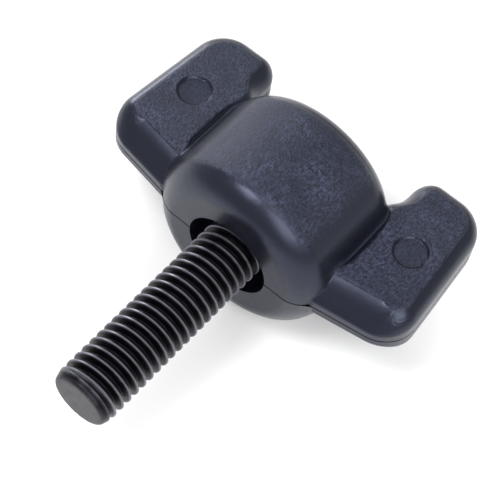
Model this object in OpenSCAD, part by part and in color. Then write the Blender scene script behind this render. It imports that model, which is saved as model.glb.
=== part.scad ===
// Wing screw: a moulded two-shell wing head closed round a hex-head bolt.
// Millimetres. +X runs from wing to wing, the bolt points to -Y, +Z is square to the broad faces of the wings.
// The origin is the centre of the head's seating face, on the bolt's axis.

// Which piece to draw

/* [Bolt] */
// Thread size across the crests
thread_d = 8; // [7.9:0.05:8]
// Distance from one thread crest to the next
thread_pitch = 1.25; // [1:0.25:1.25]
// Length of bolt standing out of the seating face
bolt_reach = 25.6; // [15.6:1.25:60.6]
// Width of the bolt's hexagon across its flats
hex_width = 13; // [11:0.5:13]
// Thickness of the bolt's hexagon
hex_thickness = 5.3; // [4:0.1:5.5]
// How deep the underside of the hexagon sits behind the seating face
hex_depth = 7; // [6:0.5:7.5]

/* [Hub] */
// Diameter of the barrel-shaped hub
hub_d = 24; // [23.6:0.2:26]
// Length of the hub from the seating face to its back
hub_length = 17.6; // [16:0.2:20]
// Rounding of the hub's front rim
hub_front_r = 3.4; // [0.8:0.2:3.6]
// Rounding of the hub's back rim
hub_back_r = 3.4; // [1:0.2:4]
// Diameter of the recess round the bolt
recess_d = 11.4; // [10:0.2:12]
// Depth of the recess round the bolt
recess_depth = 4; // [2:0.25:5]

/* [Wings] */
// Distance over both wing tips
span = 44.8; // [42:0.2:52]
// Thickness of a wing
wing_thickness = 7.8; // [7.4:0.2:9]
// Distance of the wings' front edge behind the seating face
wing_front = 1.5; // [1:0.1:3]
// Distance of the wings' back edge behind the seating face
wing_back = 23.8; // [20:0.2:26]
// Gap between the two wings behind the hub
wing_gap = 22.4; // [20:0.2:22.6]
// Degrees by which each wing tip leans inwards from front to back
wing_lean = 5; // [0:0.5:8]
// Degrees by which the front edge falls back towards the tips
wing_sweep = 9; // [0:0.5:11]
// Rounding of a wing's two outer corners seen from above
outer_corner_r = 4.6; // [3.6:0.2:5.4]
// Rounding of a wing's two inner corners seen from above
inner_corner_r = 3.2; // [2.4:0.1:3.4]
// Rounding of the long edges along a wing's front
wing_front_r = 3.4; // [1:0.1:3.4]
// Rounding of the long edges along a wing's other sides
wing_edge_r = 2.1; // [1:0.1:2.8]

/* [Marks and joint] */
// Diameter of the sunken round mark on each wing
mark_d = 4; // [3:0.25:5]
// Depth of the round mark
mark_depth = 0.3; // [0.2:0.05:0.5]
// Distance of the marks from the middle of the part
mark_x = 16.6; // [15.5:0.1:17]
// Distance of the marks behind the seating face
mark_y = 13.2; // [9:0.2:16]
// Width of the joint line between the two halves
joint_gap = 0.2; // [0.1:0.05:0.3]
// Depth of the joint line
joint_depth = 0.6; // [0.3:0.1:1]
// Diameter of the pegs that line the halves up
peg_d = 3.8; // [3:0.1:4]
// Length of the pegs
peg_length = 2; // [1.5:0.1:2.2]

/* [Hidden] */
$fn = 96;
// Play between the bolt and the plastic
play = 0.1;
// Play round and past the end of a peg
peg_play = 0.1;
// ISO thread form: depth of the groove and width of the flats, in pitches
thread_depth = 0.6134 * thread_pitch;
crest_flat = thread_pitch / 8;
root_flat = thread_pitch / 4;
thread_r = thread_d / 2;
root_r = thread_r - thread_depth;
// The plain shank of a rolled bolt has about the pitch diameter
shank_r = thread_r - 0.32 * thread_pitch;
// The last crest inside the recess is not fully formed
runout_drop = 0.2;
point_r = thread_r - 0.4;
point_length = 1.4;
thread_count = floor((bolt_reach - point_length) / thread_pitch);
hex_back = hex_depth + hex_thickness;
hex_chamfer = 0.9;
hub_r = hub_d / 2;
half_span = span / 2;
half_thickness = wing_thickness / 2;
wing_inner = wing_gap / 2;
// Long enough to pass through any part of the head
reach_all = 80;

// ---------- bolt ----------

// One thread groove per pitch, from the seating face to the point; the height is along the bolt's axis
function groove(z) = [
    [thread_r, z + crest_flat / 2],
    [root_r, z + (thread_pitch - root_flat) / 2],
    [root_r, z + (thread_pitch + root_flat) / 2],
    [thread_r, z + thread_pitch - crest_flat / 2]
];

module bolt_profile() {
    flank = (thread_pitch - crest_flat - root_flat) / 2;
    runout_r = thread_r - runout_drop;
    polygon(concat(
        [
            [0, -hex_depth - 0.5],
            [shank_r, -hex_depth - 0.5],
            [shank_r, -2 * thread_pitch],
            [root_r, -2 * thread_pitch + flank],
            [root_r, -thread_pitch - crest_flat / 2 - flank],
            [runout_r, -thread_pitch - crest_flat / 2],
            [runout_r, -thread_pitch + crest_flat / 2],
            [root_r, -thread_pitch + crest_flat / 2 + flank],
            [root_r, -crest_flat / 2 - flank],
            [thread_r, -crest_flat / 2]
        ],
        [for (i = [0:thread_count - 1]) each groove(i * thread_pitch)],
        [
            [thread_r, bolt_reach - point_length],
            [point_r, bolt_reach],
            [0, bolt_reach]
        ]
    ));
}

// Hexagon with its corners turned off on the back face, like a forged and trimmed bolt head
module hexagon() {
    corner_r = hex_width / 2 / cos(30);
    intersection() {
        cylinder(h = hex_thickness, r = corner_r, $fn = 6);
        union() {
            translate([0, 0, hex_chamfer])
                cylinder(h = hex_thickness, r = corner_r + 1);
            cylinder(h = hex_chamfer + 0.01, r1 = hex_width / 2 - 0.3, r2 = corner_r + 0.2);
        }
    }
}

module hex_bolt() {
    color([0.16, 0.16, 0.17])
        rotate([90, 0, 0])
            union() {
                rotate_extrude() bolt_profile();
                translate([0, 0, -hex_back]) hexagon();
            }
}

// ---------- head ----------

// Half section of the hub, drawn beside its axis, shrunk by the inset all round
module hub_profile(inset = 0) {
    r = hub_r - inset;
    back = hub_length - inset;
    polygon([
        [0, -inset],
        [hub_r - hub_front_r, -inset],
        [r, -hub_front_r],
        [r, -(hub_length - hub_back_r)],
        [hub_r - hub_back_r, -back],
        [0, -back]
    ]);
    translate([hub_r - hub_front_r, -hub_front_r]) circle(hub_front_r - inset);
    translate([hub_r - hub_back_r, -(hub_length - hub_back_r)]) circle(hub_back_r - inset);
}

// Corner roundings of a wing seen from above: front inner, front outer, back outer, back inner
inner_front_y = wing_front + inner_corner_r;
outer_front_x = half_span - outer_corner_r;
outer_front_y = wing_front + outer_corner_r + (outer_front_x - wing_inner) * tan(wing_sweep);
outer_back_y = wing_back - outer_corner_r;
outer_back_x = outer_front_x - (outer_back_y - outer_front_y) * tan(wing_lean);
corner_centres = [
    [wing_inner, inner_front_y],
    [outer_front_x, outer_front_y],
    [outer_back_x, outer_back_y],
    [wing_inner + inner_corner_r, wing_back - inner_corner_r]
];
corner_radii = [inner_corner_r, outer_corner_r, outer_corner_r, inner_corner_r];
corner_count = len(corner_centres);

// Direction, in degrees, that the side from corner i to the next one faces: the line touches both circles
function side_facing(i) =
    let (
        step = corner_centres[(i + 1) % corner_count] - corner_centres[i],
        growth = corner_radii[(i + 1) % corner_count] - corner_radii[i]
    )
    atan2(step[1], step[0]) - acos(-growth / norm(step));

// Outline of a wing seen from above, shrunk by the inset
module wing_plan(inset = 0) {
    polygon([
        for (i = [0:corner_count - 1])
            let (facing = side_facing(i))
            for (k = [i, (i + 1) % corner_count])
                corner_centres[k] + (corner_radii[k] - inset) * [cos(facing), sin(facing)]
    ]);
    for (i = [0:corner_count - 1]) translate(corner_centres[i]) circle(corner_radii[i] - inset);
}

// A slab as thick as a wing that starts at x = 0, with that side's two long edges rounded to radius r
module rounded_slab(r) {
    rotate([90, 0, 0])
        linear_extrude(height = reach_all, center = true)
            union() {
                translate([r, -half_thickness]) square([reach_all, wing_thickness]);
                translate([0, r - half_thickness]) square([r + 1, wing_thickness - 2 * r]);
                for (z = [r - half_thickness, half_thickness - r]) translate([r, z]) circle(r);
            }
}

// The slab set against corner i, on the side that faces the given direction
module slab_at(i, facing, edge_r = wing_edge_r) {
    translate([corner_centres[i][0], corner_centres[i][1], 0])
        rotate([0, 0, facing + 180])
            translate([-corner_radii[i], 0, 0])
                rounded_slab(edge_r);
}

// The plan cut out of slabs, so that its sides and outer corners have rounded edges
module wing() {
    intersection() {
        linear_extrude(height = reach_all, center = true) wing_plan();
        slab_at(0, side_facing(0), wing_front_r);
        slab_at(1, side_facing(1));
        slab_at(2, side_facing(2));
        slab_at(3, side_facing(3));
        slab_at(1, (side_facing(0) + side_facing(1)) / 2, (wing_front_r + wing_edge_r) / 2);
        slab_at(2, (side_facing(1) + side_facing(2)) / 2);
    }
}

module both_sides() {
    children();
    mirror([1, 0, 0]) children();
}

// Outline of the whole head in the joint plane, shrunk by the inset
module head_plan(inset = 0) {
    both_sides() {
        mirror([0, 1, 0]) hub_profile(inset);
        wing_plan(inset);
    }
}

module head_body() {
    rotate([90, 0, 0]) rotate_extrude() hub_profile();
    both_sides() wing();
}

// The hollow the bolt sits in, with the recess in front of it
module bolt_hollow() {
    rotate([90, 0, 0]) {
        translate([0, 0, -recess_depth]) cylinder(h = recess_depth + 1, d = recess_d);
        translate([0, 0, -hex_back]) cylinder(h = hex_back, r = shank_r + play);
        translate([0, 0, -hex_back - play])
            cylinder(h = hex_thickness + 2 * play, r = (hex_width / 2 + play) / cos(30), $fn = 6);
    }
}

// The upper shell. The lower one is the same moulding turned over.
module half_shell() {
    difference() {
        intersection() {
            head_body();
            translate([-reach_all / 2, -reach_all / 2, 0]) cube(reach_all);
        }
        bolt_hollow();
        // round marks on the broad faces
        for (side = [-1, 1])
            translate([side * mark_x, mark_y, half_thickness - mark_depth])
                cylinder(h = reach_all, d = mark_d);
        // joint line along the rim
        linear_extrude(height = joint_gap, center = true)
            difference() {
                square(reach_all, center = true);
                head_plan(joint_depth);
            }
        // socket for the other half's peg
        translate([-mark_x, mark_y, -1])
            cylinder(h = 1 + peg_length + peg_play, r = peg_d / 2 + peg_play);
    }
    translate([mark_x, mark_y, -peg_length]) cylinder(h = peg_length + 0.5, d = peg_d);
}

module upper_half() {
    color([0.11, 0.11, 0.13]) half_shell();
}

module lower_half() {
    color([0.11, 0.11, 0.13]) rotate([0, 180, 0]) half_shell();
}

upper_half();
lower_half();
hex_bolt();
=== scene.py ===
"""Wing screw: a black moulded wing head in two halves, closed round a blackened steel hexagon bolt.

Metres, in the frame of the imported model: +X from wing to wing, -Y along the bolt towards its point, +Z square
to the broad faces of the wings. The origin is the centre of the head's seating face.
"""

import functools
import math

import bpy
import numpy as np
from mathutils import Matrix, Vector


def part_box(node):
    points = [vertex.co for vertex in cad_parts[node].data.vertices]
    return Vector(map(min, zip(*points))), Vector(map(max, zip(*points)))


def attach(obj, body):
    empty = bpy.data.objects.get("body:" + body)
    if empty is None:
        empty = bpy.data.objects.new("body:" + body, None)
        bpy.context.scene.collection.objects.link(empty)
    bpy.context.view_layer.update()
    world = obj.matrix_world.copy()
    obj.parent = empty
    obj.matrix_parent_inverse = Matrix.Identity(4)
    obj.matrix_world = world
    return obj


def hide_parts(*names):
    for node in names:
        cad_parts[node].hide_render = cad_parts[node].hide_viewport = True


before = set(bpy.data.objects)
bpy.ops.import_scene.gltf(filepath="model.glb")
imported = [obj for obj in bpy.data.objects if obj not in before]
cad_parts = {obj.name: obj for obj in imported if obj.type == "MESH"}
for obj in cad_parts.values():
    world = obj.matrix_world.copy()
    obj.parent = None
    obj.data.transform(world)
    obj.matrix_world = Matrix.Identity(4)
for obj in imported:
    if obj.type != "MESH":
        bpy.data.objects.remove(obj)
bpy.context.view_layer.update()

bl_info = {
    "name": "Wing screw",
    "version": (1, 0, 0),
    "blender": (4, 5, 0),
    "location": "View3D > Sidebar > Wing screw",
    "description": "Builds a wing screw with a moulded two-part head and a rolled thread, and a plain studio",
    "category": "Object",
}

MM = 0.001
_, HEAD_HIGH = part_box("upper_half")
BOLT_LOW, BOLT_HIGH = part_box("hex_bolt")
# below this a length counts as nothing
TINY = 1e-9

# the hub's front rim: 2 would be a round edge, and less is flatter with a crisper ridge on the barrel
RIM_POWER = 1.75
# a wing's slanted front edge and its other, round edges: width and height at the outline in mm, and power
FRONT_EDGE = (3.6, 0.35, 1.42)
ROUND_EDGE = (2.1, 1.7, 1.8)

# the thread's depth and how much thinner the rolled plain shank is, in pitches
THREAD_DEPTH = 0.6134
SHANK_DROP = 0.32
# how much the point tapers, and the rounding of its corner, in mm
POINT_DROP = 0.42
POINT_CORNER = 0.35

# columns of the head's grid over the recess, the hub, its back rim, the inner side, its corner, the broad
# face and the tip
HEAD_COLUMNS = {"recess": 26, "hub": 18, "rim": 20, "climb": 30, "bend": 26, "broad": 46, "tip": 34}
# points round the bolt
BOLT_COLUMNS = 112
HEX_COLUMNS = 96


def length_property(name, description, millimetres):
    """A size that a user may change, shown in the scene's own length unit."""
    return bpy.props.FloatProperty(
        name=name,
        description=description,
        default=millimetres * MM,
        min=0.0,
        precision=5,
        unit="LENGTH",
        subtype="DISTANCE",
    )


def angle_property(name, description, degrees):
    """An angle that a user may change."""
    return bpy.props.FloatProperty(
        name=name, description=description, default=math.radians(degrees), subtype="ANGLE"
    )


def colour_property(name, description, hex_code):
    """A colour that a user may change. The default is an sRGB hex value."""
    return bpy.props.FloatVectorProperty(
        name=name,
        description=description,
        default=linear(hex_code),
        size=4,
        min=0.0,
        max=1.0,
        subtype="COLOR",
    )


def linear(hex_code):
    """Linear RGBA of an sRGB hex value: x / 12.92 below 0.04045, else ((x + 0.055) / 1.055) ** 2.4."""
    srgb = [int(hex_code[i : i + 2], 16) / 255 for i in (1, 3, 5)]
    return (*[c / 12.92 if c <= 0.04045 else ((c + 0.055) / 1.055) ** 2.4 for c in srgb], 1.0)


class WingScrewHeadSizes(bpy.types.PropertyGroup):
    """Sizes of the moulded head."""

    hub_radius: length_property("Hub radius", "Radius of the barrel-shaped hub", HEAD_HIGH.z / MM)
    hub_length: length_property("Hub length", "From the seating face to the back of the hub", 17.6)
    hub_front_r: length_property("Hub front rounding", "Rounding of the hub's front rim", 3.4)
    hub_back_r: length_property("Hub back rounding", "Rounding of the hub's back rim", 3.4)
    recess_radius: length_property("Recess radius", "Radius of the recess round the bolt", 5.7)
    recess_depth: length_property("Recess depth", "Depth of the recess round the bolt", 4.0)
    half_span: length_property("Half span", "From the middle to a wing's tip", HEAD_HIGH.x / MM)
    wing_height: length_property("Wing half thickness", "From the joint to a wing's broad face", 3.9)
    wing_front: length_property("Wing front", "From the seating face to a wing's front edge at its root", 1.5)
    wing_back: length_property("Wing back", "From the seating face to a wing's back edge", HEAD_HIGH.y / MM)
    wing_inner: length_property("Wing inner side", "From the middle to a wing's inner side", 11.3)
    corner_r: length_property("Outer corners", "Rounding of a wing's outer corners seen from above", 4.6)
    inner_corner_r: length_property("Inner corner", "Rounding of a wing's inner corners seen from above", 2.6)
    sweep: angle_property("Sweep", "How far the wings' front edges fall back", 9.5)
    lean: angle_property("Lean", "How far the wing tips lean inwards to the back", 5)
    mark_radius: length_property("Mark radius", "Radius of the sunken round mark on each wing", 2.05)
    mark_depth: length_property("Mark depth", "Depth of the round marks", 0.34)
    mark_x: length_property("Mark place across", "From the middle to a mark's centre", 16.6)
    mark_y: length_property("Mark place along", "From the seating face to a mark's centre", 13.2)
    joint_gap: length_property("Joint line width", "Width of the open line between the two halves", 0.2)
    joint_depth: length_property("Joint line depth", "Depth of the line between the two halves", 0.6)


class WingScrewBoltSizes(bpy.types.PropertyGroup):
    """Sizes of the steel bolt."""

    thread_radius: length_property("Thread radius", "Radius over the thread's crests", 4.0)
    pitch: length_property("Pitch", "Distance from one thread crest to the next", 1.25)
    reach: length_property("Reach", "From the seating face to the point", -BOLT_LOW.y / MM)
    hex_back: length_property("Hexagon back", "From the seating face to its back", BOLT_HIGH.y / MM)
    hex_thickness: length_property("Hexagon thickness", "Thickness of the bolt's hexagon", 5.3)
    hex_width: length_property("Hexagon width", "Width of the hexagon across its flats", 13.0)
    point_length: length_property("Point length", "Length of the tapered point", 1.4)


class WingScrewColours(bpy.types.PropertyGroup):
    """Colours of the plastic, the steel and the studio."""

    plastic: colour_property("Plastic", "The moulded plastic", "#101119")
    plastic_bloom: colour_property("Plastic bloom", "The paler specks where glass fibre shows", "#3f4358")
    steel_root: colour_property("Steel in the roots", "Black oxide in the thread's roots", "#0b0b11")
    # the crest colour is partly rubbed steel and partly a painted highlight of the light on the crests
    crest_wear_and_highlight: colour_property("Steel on the crests", "Rubbed steel on the thread's crests", "#6c6c75")
    steel_end: colour_property("Steel end face", "The sheared end face", "#393940")
    floor: colour_property("Floor", "The studio floor", "#ffffff")


# ---------- shapes ----------


def quarter_ease(t, power):
    """Height from 0 to 1 of a superellipse quarter: (1 - (1 - t) ** power) ** (1 / power)."""
    return (1 - (1 - np.clip(t, 0, 1)) ** power) ** (1 / power)


def ease(t):
    """Smooth step from 0 to 1: 3 t^2 - 2 t^3."""
    t = np.clip(t, 0, 1)
    return t * t * (3 - 2 * t)


def smooth_max(a, b, k):
    """The larger of a and b, with a fillet where they are closer than k: max + k / 4 * (1 - |a - b| / k)
    ** 2."""
    near = np.clip(1 - np.abs(a - b) / k, 0, 1)
    return np.maximum(a, b) + near * near * k / 4


def mix(a, b, share):
    """The share of a and the rest of b: a * share + b * (1 - share)."""
    return a * share + b * (1 - share)


def front_line(x, s):
    """Y of the wing's straight front edge at x: it falls back by the tangent of the sweep."""
    return s.wing_front + (x - s.wing_inner) * math.tan(s.sweep)


def inner_side(y, s):
    """X of the wing's inner side: straight behind the hub, flared to it by a fillet, and open at the front.

    A bell curve about the hub's back rim draws the side in, and a smooth step takes it away near the front
    edge.
    """
    flare_depth = 1.7 * MM
    flare_from_back = 1.2 * MM
    flare_width = 1.9 * MM
    open_depth = 2.6 * MM
    open_from = 2.0 * MM
    open_run = 6.0 * MM
    flare = flare_depth * np.exp(-(((y - s.hub_length + flare_from_back) / flare_width) ** 2))
    opened = open_depth * (1 - ease((y - open_from) / open_run))
    return s.wing_inner - flare - opened


def wing_outline(s, inner=None):
    """Corner centres, radii and the directions that the sides face, for the +X wing seen from above.

    A side that touches two circles of radii r and q, whose centres are a step apart, faces the step's
    direction less acos((r - q) / step). Order: front inner, front outer, back outer, back inner.
    """
    r, q = s.corner_r, s.inner_corner_r
    inner = s.wing_inner if inner is None else inner
    front_x = s.half_span - r
    front_y = front_line(front_x, s) + r / math.cos(s.sweep)
    back_y = s.wing_back - r
    back_x = front_x - (back_y - front_y) * math.tan(s.lean)
    centres = np.array(
        [
            [inner + q, front_line(inner + q, s) + q / math.cos(s.sweep)],
            [front_x, front_y],
            [back_x, back_y],
            [inner + q, s.wing_back - q],
        ]
    )
    radii = np.array([q, r, r, q])
    step = np.roll(centres, -1, 0) - centres
    facing = np.arctan2(step[:, 1], step[:, 0]) - np.arccos((radii - np.roll(radii, -1)) / np.hypot(*step.T))
    return centres, radii, facing


def wing_rim(s, inner=None, per_corner=40, per_side=60):
    """Points along the wing's outline, anticlockwise, and the direction that the outline faces at each of
    them.

    Each corner is an arc from the last side's facing to the next side's, and each side a straight run
    between arcs.
    """
    centres, radii, facing = wing_outline(s, inner)
    before = np.roll(facing, 1)
    turn = np.mod(facing - before, 2 * math.pi)
    share = np.linspace(0, 1, per_corner)
    angles = before[:, None] + turn[:, None] * share
    arcs = centres[:, None] + radii[:, None, None] * np.stack([np.cos(angles), np.sin(angles)], 2)
    ends = np.roll(arcs[:, 0], -1, 0)
    run = np.linspace(0, 1, per_side)[1:-1]
    sides = arcs[:, -1][:, None] * (1 - run[None, :, None]) + ends[:, None] * run[None, :, None]
    side_angles = np.repeat(facing[:, None], len(run), 1)
    points = np.concatenate([arcs, sides], 1).reshape(-1, 2)
    return points, np.concatenate([angles, side_angles], 1).reshape(-1)


def distance_to_rim(points, rim, angles):
    """How far each point lies inside the outline, and the way the outline faces there.

    The distance is measured along the facing of the nearest outline point, so that it is exact beside
    straight sides. The points are taken a few thousand at a time to save memory.
    """
    inside = np.empty(len(points))
    facing = np.empty((len(points), 2))
    out = np.stack([np.cos(angles), np.sin(angles)], 1)
    chunk = 4000
    for start in range(0, len(points), chunk):
        part = points[start : start + chunk]
        gap = part[:, None] - rim[None]
        nearest = (gap**2).sum(2).argmin(1)
        facing[start : start + chunk] = out[nearest]
        inside[start : start + chunk] = -(gap[np.arange(len(part)), nearest] * out[nearest]).sum(1)
    return inside, facing


def wing_top(x, y, s):
    """Height of a wing's broad face with its edges rounded off: the lower of its outer and its inner
    rounding.

    Outer: from the outline inwards the height climbs as a quarter superellipse over an edge width. The
    front is a wide slanted edge and the others are round ones, mixed by the way the outline faces. Inner:
    the same climb from the inner side and the back corner beside it, starting higher beside the hub and
    near the front.
    """
    past_inner = 6 * MM
    rim, angles = wing_rim(s, s.wing_inner - past_inner)
    inside, facing = distance_to_rim(np.stack([np.abs(x), y], -1).reshape(-1, 2), rim, angles)
    inside = inside.reshape(x.shape)
    turned = np.arctan2(facing[:, 1], facing[:, 0]).reshape(x.shape) + math.pi / 2 - s.sweep
    faces_front = 1 - ease(turned / (math.pi / 2 - s.sweep + s.lean))
    width, foot, power = (mix(a, b, faces_front) for a, b in zip(FRONT_EDGE, ROUND_EDGE))
    foot = foot * MM
    outer = foot + (s.wing_height - foot) * quarter_ease(inside / (width * MM), power)

    round_width, round_foot, round_power = ROUND_EDGE
    inner_foot = 1.4
    lift_beside_hub = 1.5
    lift_at_front = 0.9
    narrowing = 0.7
    power_drop = 0.3
    corner = s.inner_corner_r
    side = np.maximum(corner - (np.abs(x) - inner_side(y, s)), 0)
    back = np.maximum(corner - (s.wing_back - y), 0)
    length = np.hypot(side, back)
    from_inner = corner - length
    share = np.divide(side, length, out=np.zeros_like(side), where=length > TINY) ** 2
    beside_hub = ease((s.hub_length - 1.5 * MM - y) / (3.0 * MM))
    at_front = 1 - ease((y - 2.5 * MM) / (5.0 * MM))
    side_foot = inner_foot + lift_beside_hub * beside_hub + lift_at_front * at_front
    low = mix(side_foot, round_foot, share) * MM
    reach = (round_width - narrowing * share * beside_hub) * MM
    inner = low + (s.wing_height - low) * quarter_ease(from_inner / reach, round_power - power_drop * share)
    on_wing = (inside > -1e-6) & (from_inner > -1e-6)
    return np.where(on_wing, np.minimum(outer, inner), -s.wing_height)


def hub_top(x, y, s):
    """Height of the barrel: sqrt(radius(y)^2 - x^2), where the radius is rounded off at both ends."""
    front = s.hub_front_r * (1 - quarter_ease(y / s.hub_front_r, RIM_POWER))
    past = np.clip(y - (s.hub_length - s.hub_back_r), 0, s.hub_back_r)
    back = s.hub_back_r - np.sqrt(s.hub_back_r**2 - past**2)
    radius = s.hub_radius - front - back
    radius = np.where((y < -1e-7) | (y > s.hub_length + 1e-7), 0, radius)
    return np.sqrt(np.maximum(radius**2 - x**2, 0))


def head_columns(s):
    """Front and back end of every column of the head's grid, for x from the middle to the tip.

    The columns run along Y. They are close together at the recess's rim, in the valley beside the hub, and
    at the tip. Beside the notch behind the hub the back ends climb the wing's inner side while the front
    ends barely move.
    """
    count = HEAD_COLUMNS
    tip_run = 2.6 * MM
    valley = 0.9 * MM
    rim, angles = wing_rim(s)
    turn = np.mod(angles + math.pi / 2, 2 * math.pi)
    tip = np.argmax(rim[:, 0])
    lower = rim[(rim[:, 1] <= rim[tip, 1]) & (np.sin(angles) < 0.3) & (turn < math.pi)]
    upper = rim[(rim[:, 1] >= rim[tip, 1]) & (turn < math.pi * 1.001)]
    lower = lower[np.argsort(lower[:, 0])]
    upper = upper[np.argsort(upper[:, 0])]
    corner_x = s.wing_inner + s.inner_corner_r
    rho, flat = s.hub_back_r, s.hub_radius - s.hub_back_r

    # where the hub's back rim runs into the flared inner side
    ys = np.linspace(s.hub_length - rho, s.hub_length, 2000)
    rim_x = flat + np.sqrt(np.maximum(rho**2 - (ys - s.hub_length + rho) ** 2, 0))
    meet = np.argmax(rim_x < inner_side(ys, s))
    meet_x = rim_x[meet]
    quarter = np.linspace(0, math.pi / 2, count["recess"])
    xs = np.concatenate(
        [
            s.recess_radius * np.sin(quarter),
            np.linspace(s.recess_radius, flat, count["hub"])[1:],
            np.linspace(flat, meet_x, count["rim"])[1:],
        ]
    )
    hub_back = s.hub_length - rho + np.sqrt(np.maximum(rho**2 - np.maximum(xs - flat, 0) ** 2, 0))
    climb = np.linspace(hub_back[-1], s.wing_back - s.inner_corner_r, count["climb"])[1:]
    climb_front = np.linspace(meet_x, s.wing_inner + 0.5 * MM, count["climb"])[1:]
    bend = np.linspace(math.pi, math.pi / 2, count["bend"])[1:]
    bend_x = corner_x + s.inner_corner_r * np.cos(bend)
    bend_y = s.wing_back - s.inner_corner_r * (1 - np.sin(bend))
    bend_front = np.linspace(climb_front[-1], corner_x, count["bend"])[1:]
    broad = np.linspace(corner_x, s.half_span - tip_run, count["broad"])[1:]
    last = s.half_span - tip_run * np.cos(np.linspace(0, math.pi / 2, count["tip"]))[1:]
    far = np.concatenate([broad, np.minimum(last, rim[tip, 0])])
    front_x = np.concatenate([xs, climb_front, bend_front, far])
    back_x = np.concatenate([xs, inner_side(climb, s), bend_x, far])
    back_y = np.concatenate([hub_back, climb, bend_y, np.interp(far, upper[:, 0], upper[:, 1])])

    beside = np.clip((front_x - s.hub_radius) / s.hub_front_r + 1, 0, 1)
    hub_arc = s.hub_front_r * (1 - (1 - beside**RIM_POWER) ** (1 / RIM_POWER))
    wing_part = np.interp(front_x, lower[:, 0], lower[:, 1])
    wing_part = np.where(front_x < corner_x + 0.5 * MM, front_line(front_x, s), wing_part)
    wing_part = np.where(beside > 0, wing_part, s.wing_back)
    near = np.where(beside > 0, valley, TINY)
    front_y = -smooth_max(-hub_arc, -wing_part, near)
    front_y = np.where(front_x < s.hub_radius, front_y, wing_part)
    back_y[-1] = front_y[-1]
    return front_x, front_y, back_x, back_y


def head_half(s):
    """Vertices and faces of one closed half of the head, above the joint plane.

    The half is the space between a top sheet, the filleted larger one of hub and wing less the round
    marks, and a bottom sheet, the joint plane with the recess's vault sqrt(recess radius^2 - x^2) and the
    joint line's step. Both sheets hang on the same columns, and a wall joins them round the outline.
    """
    fx, fy, bx, by = head_columns(s)
    fx, bx = (np.concatenate([-v[:0:-1], v]) for v in (fx, bx))
    fy, by = (np.concatenate([v[:0:-1], v]) for v in (fy, by))
    columns = len(fx)
    span = by - fy
    front_reach, back_reach = 5.0 * MM, 3.0 * MM
    scale = np.clip(span / (front_reach + back_reach + 1.0 * MM), 0, 1)[:, None]

    def sheet(front_steps, middle, back_steps):
        """Y of each row: fixed steps from the front, even steps, then fixed steps to the back."""
        a = fy[:, None] + front_steps * scale
        b = by[:, None] - back_steps[::-1] * scale
        share = np.linspace(0, 1, middle + 2)[1:-1]
        m = a[:, -1:] + (b[:, :1] - a[:, -1:]) * share
        y = np.concatenate([a, m, b], 1)
        along = np.divide(y - fy[:, None], span[:, None], out=np.zeros_like(y), where=span[:, None] > TINY)
        return fx[:, None] * (1 - along) + bx[:, None] * along, y

    # the top sheet, with its rows closer together towards the edges
    step = s.joint_gap / 2
    crowding = 1.25
    front_steps = front_reach * np.linspace(0, 1, 40) ** crowding
    back_steps = back_reach * np.linspace(0, 1, 26) ** crowding
    x, y = sheet(front_steps, 92, back_steps)
    back_fillet = 1.5
    more_at_front = 1.8
    fillet = (back_fillet + more_at_front * (1 - ease((y - 1.5 * MM) / (5.0 * MM)))) * MM
    top = smooth_max(hub_top(x, y, s), wing_top(x, y, s), fillet)
    mark_wall = 0.22 * MM
    from_mark = np.hypot(np.abs(x) - s.mark_x, y - s.mark_y) - s.mark_radius
    top -= s.mark_depth * np.clip(0.5 - from_mark / mark_wall, 0, 1)
    top = np.maximum(top, step)

    # the bottom sheet, with two close rows at each step: the joint line's and the recess's floor
    deep = s.recess_depth
    joint_wall = 0.02 * MM
    floor_wall = 0.002 * MM
    low_back = np.array([0, s.joint_depth - joint_wall, s.joint_depth])
    low_front = np.concatenate([low_back, [deep / 2, deep - floor_wall, deep + floor_wall]])
    u, v = sheet(low_front, 6, low_back)
    in_recess = (v - fy[:, None] < deep) & (np.abs(u) < s.recess_radius)
    vault = np.where(in_recess, np.sqrt(np.maximum(s.recess_radius**2 - u**2, 0)), 0)
    edge = np.minimum(v - fy[:, None], by[:, None] - v) < s.joint_depth - joint_wall / 2
    low = np.maximum(vault, np.where(edge, step, 0))

    wall_rows = 9
    share = np.linspace(0, 1, wall_rows + 2)[1:-1]

    def wall(k, m):
        """Rows between the bottom sheet's edge row m and the top sheet's edge row k."""
        z = low[:, m, None] * (1 - share) + top[:, k, None] * share
        across, along = (np.repeat(v[:, k, None], wall_rows, 1) for v in (x, y))
        return np.stack([across, along, z], 2)

    loop = np.concatenate(
        [
            np.stack([x, y, top], 2),
            wall(-1, -1)[:, ::-1],
            np.stack([u, v, low], 2)[:, ::-1],
            wall(0, 0),
        ],
        1,
    )
    around = loop.shape[1]
    index = np.arange(columns * around).reshape(columns, around)
    after = np.roll(index, -1, 1)
    faces = np.stack([index[:-1], after[:-1], after[1:], index[1:]], 2).reshape(-1, 4)
    return loop.reshape(-1, 3), faces[:, ::-1]


def grain_amount(verts, s):
    """From 0 to 1, how much of the eroded tool's grain a point of the head has.

    The broad faces and the round marks in them have it up to where the edges start to round off, and so
    does the barrel for about 45 degrees to either side, short of its rims. Rims, walls and fillets are satin.
    """
    in_marks = 0.45
    hub_grain_end = 9.6 * MM
    across, height = np.abs(verts[:, 0]), np.abs(verts[:, 2])
    from_inner = across - s.wing_inner
    from_mark = np.hypot(across - s.mark_x, verts[:, 1] - s.mark_y) - s.mark_radius
    beside_rim = ease((np.abs(from_mark) - 0.08 * MM) / (0.2 * MM))
    on_wing = ease((height - s.wing_height + 0.16 * MM) / (0.12 * MM)) * ease(from_inner / (0.9 * MM))
    sunken = (from_mark < 0) & (height > s.wing_height - 2 * s.mark_depth)
    on_wing = np.where(sunken, in_marks, on_wing) * beside_rim
    near_crown = ease((np.hypot(across, height) - s.hub_radius + 0.30 * MM) / (0.25 * MM))
    on_hub = near_crown * ease((hub_grain_end - across) / (2.6 * MM))
    return np.maximum(on_wing, on_hub)


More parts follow.
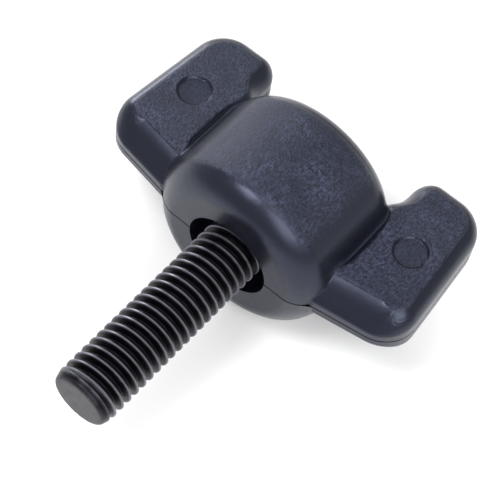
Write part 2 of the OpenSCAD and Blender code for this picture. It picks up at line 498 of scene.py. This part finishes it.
def thread_radius(turns, s):
    """Radius at a point whose place in the thread is given in pitches.

    The crest is p/8 wide and the root p/4 wide, with 60 degree flanks between them, a little rounded by a
    sine.
    """
    half_crest, root_start = 1 / 16, 3 / 8
    rounding = 0.10
    phase = np.mod(turns, 1.0)
    phase = np.minimum(phase, 1 - phase)
    fall = np.clip((phase - half_crest) / (root_start - half_crest), 0, 1)
    fall = fall + rounding * np.sin(2 * math.pi * fall) / (2 * math.pi)
    return s.thread_radius - THREAD_DEPTH * s.pitch * fall


def shank_radius(s):
    """Radius of the plain shank, which is as thick as the blank that the thread was rolled on."""
    return s.thread_radius - SHANK_DROP * s.pitch


def shank_end(s):
    """Y of the shank's hidden end, a tenth of a millimetre inside the hexagon."""
    return s.hex_back - s.hex_thickness + 0.1 * MM


def bolt_thread(s):
    """Threaded and plain length as one surface of turn angle and length, with rows that follow the helix.

    The radius is the thread's profile at length / pitch + angle / (2 pi), held under the tapered point,
    and it runs out to the plain shank inside the recess. A right-hand helix: turning from +X to +Z moves a
    crest to the point.
    """
    # rows over half a pitch, close together where the profile bends, and the same again turned round
    places = np.array([0, 0.04, 0.062, 0.09, 0.14, 0.2, 0.26, 0.32, 0.365, 0.39, 0.45, 0.5])
    places = np.concatenate([places, 1 - places[-2:0:-1]])
    per_turn = len(places)
    shank = shank_end(s)
    turns = int((s.reach + shank) / s.pitch) + 5
    along = (np.arange(turns)[:, None] + places[None]).reshape(-1) - math.ceil(shank / s.pitch) - 1
    share = np.arange(BOLT_COLUMNS) / BOLT_COLUMNS
    length = (along[:, None] + share[None]) * s.pitch
    length = np.clip(length, -shank, s.reach)
    angle = np.broadcast_to(share * 2 * math.pi, length.shape)
    radius = thread_radius(length / s.pitch - angle / (2 * math.pi), s)

    # the run-out inside the recess, then the last turns and the rounded corner of the point
    run_out, run_out_length = 2.4, 1.3
    full, plain = s.thread_radius, shank_radius(s)
    fade = np.clip((length + run_out * s.pitch) / (run_out_length * s.pitch), 0, 1)
    radius = np.where(length < 0, plain + (radius - plain) * fade, radius)
    bare = s.reach - length
    radius = full - (full - radius) * ease((bare - 0.55 * MM) / (1.5 * MM))
    taper = full - POINT_DROP * MM * np.clip(1 - bare / s.point_length, 0, 1)
    corner = POINT_CORNER * MM
    taper = taper - corner + np.sqrt(np.maximum(corner**2 - np.clip(corner - bare, 0, corner) ** 2, 0))
    radius = np.minimum(radius, taper)

    # the last column's neighbour is the first column one turn on
    verts = np.stack([radius * np.cos(angle), -length, radius * np.sin(angle)], 2)
    index = np.arange(length.size).reshape(length.shape)
    right = np.concatenate([index[:, 1:], np.roll(index[:, :1], -per_turn, 0)], 1)
    last = len(along) - per_turn
    faces = np.stack([index[: last - 1], right[: last - 1], right[1:last], index[1:last]], 2)
    return verts.reshape(-1, 3), faces.reshape(-1, 4)


def ring_faces(rings, columns):
    """Faces between rings of as many points each, every ring closed on itself."""
    index = np.arange(rings * columns).reshape(rings, columns)
    right = np.roll(index, -1, 1)
    return np.stack([index[:-1], right[:-1], right[1:], index[1:]], 2).reshape(-1, 4)


def disc(radius, y, towards):
    """A flat round cap of rings and spokes, with its pole closed, that faces +Y or -Y."""
    rings = 9
    angle = np.arange(BOLT_COLUMNS) / BOLT_COLUMNS * 2 * math.pi
    r = np.linspace(0, 1, rings)[:, None] * radius * np.ones(BOLT_COLUMNS)
    verts = np.stack([r * np.cos(angle), np.full_like(r, y), r * np.sin(angle)], 2)
    faces = ring_faces(rings, BOLT_COLUMNS)
    return verts.reshape(-1, 3), faces if towards > 0 else faces[:, ::-1]


def hexagon(s):
    """The forged hexagon: radius half width / cos(angle from the nearest flat), with its back corners
    turned off."""
    turned_share = 0.95
    turned_length = 0.8 * MM
    angle = np.arange(HEX_COLUMNS) / HEX_COLUMNS * 2 * math.pi
    from_flat = np.mod(angle + math.pi / 6, math.pi / 3) - math.pi / 6
    edge = s.hex_width / 2 / np.cos(from_flat)
    front, back = s.hex_back - s.hex_thickness, s.hex_back
    turned = np.minimum(edge, s.hex_width / 2 * turned_share)
    r = np.stack([0 * edge, edge, edge, turned, 0 * edge])
    y = np.array([front, front, back - turned_length, back, back])[:, None] + 0 * r
    verts = np.stack([r * np.cos(angle), y, r * np.sin(angle)], 2)
    return verts.reshape(-1, 3), ring_faces(len(r), HEX_COLUMNS)[:, ::-1]


def join_parts(*parts):
    """Vertices and faces of several parts as one mesh."""
    starts = np.cumsum([0] + [len(v) for v, _ in parts[:-1]])
    return np.concatenate([v for v, _ in parts]), np.concatenate([f + k for (_, f), k in zip(parts, starts)])


def tidy_faces(verts, faces):
    """Vertices that share a place are made one, and faces that have lost their area are dropped."""
    same_place = 1e-4 * MM
    key = np.round(verts / same_place).astype(np.int64)
    _, first, same = np.unique(key, axis=0, return_index=True, return_inverse=True)
    verts, faces = verts[first], same.reshape(-1)[faces]
    keep = (faces[:, 0] != faces[:, 2]) & (faces[:, 1] != faces[:, 3])
    return verts, faces[keep]


def corner_list(face):
    """A face's corners with repeated neighbours left out."""
    return [c for i, c in enumerate(face) if c != face[i - 1]]


def add_piece(name, verts, faces, material, slot, node, smooth_angle, grain=None):
    """Puts a shape into the scene as a piece that rides on the root body and stands for a CAD node.

    Grain, a function of the vertices, is kept in the mesh as an attribute of that name for the material to
    read.
    """
    verts, faces = tidy_faces(verts, faces)
    mesh = bpy.data.meshes.new(name)
    mesh.from_pydata(verts.tolist(), [], [corner_list(f) for f in faces.tolist()])
    mesh.validate()
    if grain is not None:
        amount = mesh.attributes.new("grain", "FLOAT", "POINT")
        amount.data.foreach_set("value", grain(verts))
    mesh.materials.append(material)
    mesh.shade_smooth()
    mesh.set_sharp_from_angle(angle=math.radians(smooth_angle))
    piece = bpy.data.objects.new(name, mesh)
    bpy.context.scene.collection.objects.link(piece)
    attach(piece, "root")
    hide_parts(node)
    return piece


# ---------- materials ----------


def add_node(tree, kind, settings=None, **inputs):
    """Adds a node, sets its own settings, and links an input to a socket or sets it to any other value.

    An input is given by its name, with _ for a space, or by its number after an i.
    """
    made = tree.nodes.new(kind)
    for key, value in (settings or {}).items():
        setattr(made, key, value)
    for key, value in inputs.items():
        numbered = key[0] == "i" and key[1:].isdigit()
        socket = made.inputs[int(key[1:]) if numbered else key.replace("_", " ")]
        if isinstance(value, bpy.types.NodeSocket):
            tree.links.new(value, socket)
        else:
            socket.default_value = value
    return made


def new_material(name):
    """An empty node material with its output, and the tree."""
    material = bpy.data.materials.new(name)
    material.use_nodes = True
    tree = material.node_tree
    tree.nodes.clear()
    return material, tree


def glass_filled_nylon(colours):
    """Glass-filled nylon, moulded against a spark-eroded tool: flats have a fine mottled grain, fillets
    are satin."""
    material, tree = new_material("glass_filled_nylon_moulded")
    node = functools.partial(add_node, tree)
    place = node("ShaderNodeTexCoord").outputs["Object"]
    # the eroded grain stops where the edges round off
    grainy = node("ShaderNodeAttribute", {"attribute_name": "grain"}).outputs["Fac"]
    # fibre bloom in cells of 0.3 mm, drawn out to 0.5 mm along the bolt by the flow of the melt
    flow = node("ShaderNodeMapping", Vector=place, Scale=(1.0, 0.6, 1.0)).outputs[0]
    bloom = node("ShaderNodeTexNoise", Vector=flow, Scale=3.3 / MM, Detail=4.0, Roughness=0.6).outputs["Fac"]
    # clouds of more and less bloom, about 4 mm across
    cloud = node(
        "ShaderNodeTexNoise", Vector=place, Scale=0.26 / MM, Detail=3.0, Roughness=0.5
    ).outputs["Fac"]
    speck = node("ShaderNodeMapRange", Value=bloom, From_Min=0.42, From_Max=0.64).outputs[0]
    patch = node(
        "ShaderNodeMapRange", Value=cloud, From_Min=0.3, From_Max=0.7, To_Min=0.15, To_Max=1.0
    ).outputs[0]
    pale = node("ShaderNodeMath", {"operation": "MULTIPLY"}, i0=speck, i1=patch).outputs[0]
    pale = node("ShaderNodeMath", {"operation": "MULTIPLY"}, i0=pale, i1=grainy).outputs[0]
    colour = node(
        "ShaderNodeMix",
        {"data_type": "RGBA"},
        i0=pale,
        i6=tuple(colours.plastic),
        i7=tuple(colours.plastic_bloom),
    ).outputs[2]
    # the grain scatters the gloss, and the fillets keep a satin one
    rough_grain = node(
        "ShaderNodeMapRange", Value=bloom, From_Min=0.3, From_Max=0.7, To_Min=0.34, To_Max=0.60
    ).outputs[0]
    rough = node("ShaderNodeMix", {"data_type": "FLOAT"}, i0=grainy, i2=0.31, i3=rough_grain).outputs[0]
    # pits of the eroded tool, a little under 0.3 mm, and a faint unevenness of 1.1 mm all over
    pits = node("ShaderNodeTexNoise", Vector=place, Scale=3.6 / MM, Detail=3.0, Roughness=0.6).outputs["Fac"]
    depth = node("ShaderNodeMath", {"operation": "MULTIPLY"}, i0=pits, i1=grainy).outputs[0]
    fine = node("ShaderNodeTexNoise", Vector=place, Scale=0.9 / MM, Detail=2.0).outputs["Fac"]
    faint = node("ShaderNodeMath", {"operation": "MULTIPLY_ADD"}, i0=fine, i1=0.12, i2=depth).outputs[0]
    bump = node("ShaderNodeBump", Strength=1.0, Distance=0.20 * MM, Height=faint).outputs[0]
    shader = node("ShaderNodeBsdfPrincipled", Base_Color=colour, Roughness=rough, IOR=1.53, Normal=bump)
    # the melt's blue-black pigment tints its gloss a little
    shader.inputs["Specular Tint"].default_value = (0.64, 0.71, 1.0, 1.0)
    node("ShaderNodeOutputMaterial", Surface=shader.outputs[0])
    return material


def black_oxide_steel(colours, s):
    """Rolled steel, black oxide finish: oily black in the roots; grey on the crests, partly rubbed steel and
    partly a painted highlight where the light catches them; dull grey end face."""
    material, tree = new_material("black_oxide_steel_rolled")
    node = functools.partial(add_node, tree)
    root, rubbed_and_highlit, sheared = (tuple(c) for c in (colours.steel_root, colours.crest_wear_and_highlight, colours.steel_end))
    place = node("ShaderNodeTexCoord").outputs["Object"]
    flat = node("ShaderNodeVectorMath", {"operation": "MULTIPLY"}, i0=place, i1=(1.0, 0.0, 1.0)).outputs[0]
    radius = node("ShaderNodeVectorMath", {"operation": "LENGTH"}, i0=flat).outputs["Value"]
    # blotches of rubbed oxide, 1.1 mm across, that also break up the edge of the bright crests
    grain = node("ShaderNodeTexNoise", Vector=place, Scale=0.9 / MM, Detail=4.0, Roughness=0.6).outputs["Fac"]
    wobble = node(
        "ShaderNodeMath", {"operation": "MULTIPLY_ADD"}, i0=grain, i1=0.16 * MM, i2=radius
    ).outputs[0]
    # the crests, found by radius, are painted a lighter grey than the roots: partly rubbed steel, partly a
    # painted highlight where the light catches them
    crest = node(
        "ShaderNodeMapRange",
        {"interpolation_type": "SMOOTHSTEP"},
        Value=wobble,
        From_Min=s.thread_radius - 0.16 * MM,
        From_Max=s.thread_radius + 0.06 * MM,
    ).outputs[0]
    side = node("ShaderNodeMix", {"data_type": "RGBA"}, i0=crest, i6=root, i7=rubbed_and_highlit).outputs[2]
    # the end face, where the blank was sheared off
    along = node("ShaderNodeSeparateXYZ", i0=place).outputs["Y"]
    end = node(
        "ShaderNodeMapRange", Value=along, From_Min=-s.reach + 0.5 * MM, From_Max=-s.reach + 0.1 * MM
    ).outputs[0]
    worn = node("ShaderNodeMapRange", Value=grain, From_Min=0.22, From_Max=0.66).outputs[0]
    shear = node("ShaderNodeMix", {"data_type": "RGBA"}, i0=worn, i6=root, i7=sheared).outputs[2]
    colour = node("ShaderNodeMix", {"data_type": "RGBA"}, i0=end, i6=side, i7=shear).outputs[2]
    rough = node(
        "ShaderNodeMapRange", Value=grain, From_Min=0.3, From_Max=0.7, To_Min=0.34, To_Max=0.52
    ).outputs[0]
    bump = node("ShaderNodeBump", Strength=0.4, Distance=0.05 * MM, Height=grain).outputs[0]
    shader = node("ShaderNodeBsdfPrincipled", Base_Color=colour, Metallic=0.85, Roughness=rough, Normal=bump)
    node("ShaderNodeOutputMaterial", Surface=shader.outputs[0])
    return material


def matt_paper(colours):
    """White paper sweep, matt, with a hardly visible tooth."""
    material, tree = new_material("white_paper_sweep")
    node = functools.partial(add_node, tree)
    place = node("ShaderNodeTexCoord").outputs["Object"]
    tooth = node("ShaderNodeTexNoise", Vector=place, Scale=0.6 / MM, Detail=2.0).outputs["Fac"]
    bump = node("ShaderNodeBump", Strength=0.03, Distance=0.03 * MM, Height=tooth).outputs[0]
    floor = tuple(colours.floor)
    shader = node("ShaderNodeBsdfPrincipled", Base_Color=floor, Roughness=0.9, Normal=bump)
    node("ShaderNodeOutputMaterial", Surface=shader.outputs[0])
    return material


# ---------- operators ----------


class WINGSCREW_OT_head(bpy.types.Operator):
    """Build the two halves of the moulded head"""

    bl_idname = "wing_screw.head"
    bl_label = "Head halves"

    def execute(self, context):
        sizes = context.scene.wing_screw_head
        sharp = 40
        verts, faces = head_half(sizes)
        plastic = glass_filled_nylon(context.scene.wing_screw_colours)
        grain = functools.partial(grain_amount, s=sizes)
        add_piece("moulded_upper_half", verts, faces, plastic, "moulded_plastic", "upper_half", sharp, grain)
        turned = verts * np.array([-1.0, 1.0, -1.0])
        add_piece("moulded_lower_half", turned, faces, plastic, "moulded_plastic", "lower_half", sharp, grain)
        return {"FINISHED"}


class WINGSCREW_OT_bolt(bpy.types.Operator):
    """Build the steel bolt with its helical thread"""

    bl_idname = "wing_screw.bolt"
    bl_label = "Bolt"

    def execute(self, context):
        sizes = context.scene.wing_screw_bolt
        steel = black_oxide_steel(context.scene.wing_screw_colours, sizes)
        sharp = 50
        point_radius = sizes.thread_radius - (POINT_DROP + POINT_CORNER) * MM
        shape = join_parts(
            bolt_thread(sizes),
            disc(point_radius, -sizes.reach, -1),
            disc(shank_radius(sizes), shank_end(sizes), 1),
            hexagon(sizes),
        )
        add_piece("threaded_bolt", *shape, steel, "blackened_steel", "hex_bolt", sharp)
        return {"FINISHED"}


class WINGSCREW_OT_studio(bpy.types.Operator):
    """Set up the floor, the soft lights and the camera"""

    bl_idname = "wing_screw.studio"
    bl_label = "Studio"

    def execute(self, context):
        scene = context.scene
        paper = matt_paper(scene.wing_screw_colours)
        half = 1.5
        level = HEAD_HIGH.z * -1 - 0.05 * MM
        mesh = bpy.data.meshes.new("floor")
        corners = [(x * half, y * half, level) for x, y in ((-1, -1), (1, -1), (1, 1), (-1, 1))]
        mesh.from_pydata(corners, [], [(0, 1, 2, 3)])
        mesh.materials.append(paper)
        floor = bpy.data.objects.new("floor", mesh)
        scene.collection.objects.link(floor)
        middle = np.array([0.0, 4.0, 0.0]) * MM
        add_light("overhead_softbox", middle, (-60, 170, 260), 120, 0.10)
        add_light("left_softbox", middle, (-250, 110, 70), 100, 0.34)
        add_light("front_softbox", middle, (-70, -108, 262), 110, 0.42)
        add_light("wide_fill", middle, (220, -150, 260), 260, 1.0)
        world = bpy.data.worlds.new("pale_room")
        world.use_nodes = True
        background = world.node_tree.nodes["Background"]
        background.inputs["Color"].default_value = (1, 1, 1, 1)
        background.inputs["Strength"].default_value = 0.58
        scene.world = world
        scene.view_settings.view_transform = "Standard"
        add_camera(scene)
        return {"FINISHED"}


def add_light(name, aim, place_mm, width_mm, watts):
    """A square soft light at a place round the aim, facing it."""
    lamp = bpy.data.lights.new(name, "AREA")
    lamp.size = width_mm * MM
    lamp.energy = watts
    light = bpy.data.objects.new(name, lamp)
    place = np.array(place_mm) * MM
    light.location = aim + place
    light.rotation_euler = Vector((-place).tolist()).to_track_quat("-Z", "Y").to_euler()
    bpy.context.scene.collection.objects.link(light)


def add_camera(scene):
    """A long lens above and in front of the head, turned a little about its own axis."""
    azimuth = math.radians(31.4)
    elevation = math.radians(59.6)
    roll = math.radians(10.13)
    distance = 196.1 * MM
    flat = math.cos(elevation)
    back = np.array([math.sin(azimuth) * flat, -math.cos(azimuth) * flat, math.sin(elevation)])
    level = np.array([math.cos(azimuth), math.sin(azimuth), 0.0])
    upward = np.cross(back, level)
    right = math.cos(roll) * level + math.sin(roll) * upward
    up = -math.sin(roll) * level + math.cos(roll) * upward
    data = bpy.data.cameras.new("camera")
    data.lens = 120.3
    data.sensor_width = 36.0
    data.shift_x = 0.0472
    data.shift_y = 0.0114
    data.clip_start = 0.01
    camera = bpy.data.objects.new("camera", data)
    turn = Matrix((right.tolist(), up.tolist(), back.tolist())).transposed()
    camera.matrix_world = Matrix.Translation((back * distance).tolist()) @ turn.to_4x4()
    scene.collection.objects.link(camera)
    scene.camera = camera


class WINGSCREW_PT_panel(bpy.types.Panel):
    """Sizes, colours and buttons of the wing screw"""

    bl_label = "Wing screw"
    bl_idname = "WINGSCREW_PT_panel"
    bl_space_type = "VIEW_3D"
    bl_region_type = "UI"
    bl_category = "Wing screw"

    def draw(self, context):
        for group in ("wing_screw_head", "wing_screw_bolt", "wing_screw_colours"):
            box = self.layout.box()
            settings = getattr(context.scene, group)
            for name in settings.bl_rna.properties.keys():
                if name not in ("rna_type", "name"):
                    box.prop(settings, name)
        for operator in OPERATORS:
            self.layout.operator(operator.bl_idname)


OPERATORS = (WINGSCREW_OT_head, WINGSCREW_OT_bolt, WINGSCREW_OT_studio)
GROUPS = {
    "wing_screw_head": WingScrewHeadSizes,
    "wing_screw_bolt": WingScrewBoltSizes,
    "wing_screw_colours": WingScrewColours,
}


def register():
    for kind in (*GROUPS.values(), *OPERATORS, WINGSCREW_PT_panel):
        bpy.utils.register_class(kind)
    for name, kind in GROUPS.items():
        setattr(bpy.types.Scene, name, bpy.props.PointerProperty(type=kind))


def unregister():
    for name in GROUPS:
        delattr(bpy.types.Scene, name)
    for kind in reversed((*GROUPS.values(), *OPERATORS, WINGSCREW_PT_panel)):
        bpy.utils.unregister_class(kind)


def main():
    register()
    bpy.ops.wing_screw.head()
    bpy.ops.wing_screw.bolt()
    bpy.ops.wing_screw.studio()


if __name__ == "__main__":
    main()
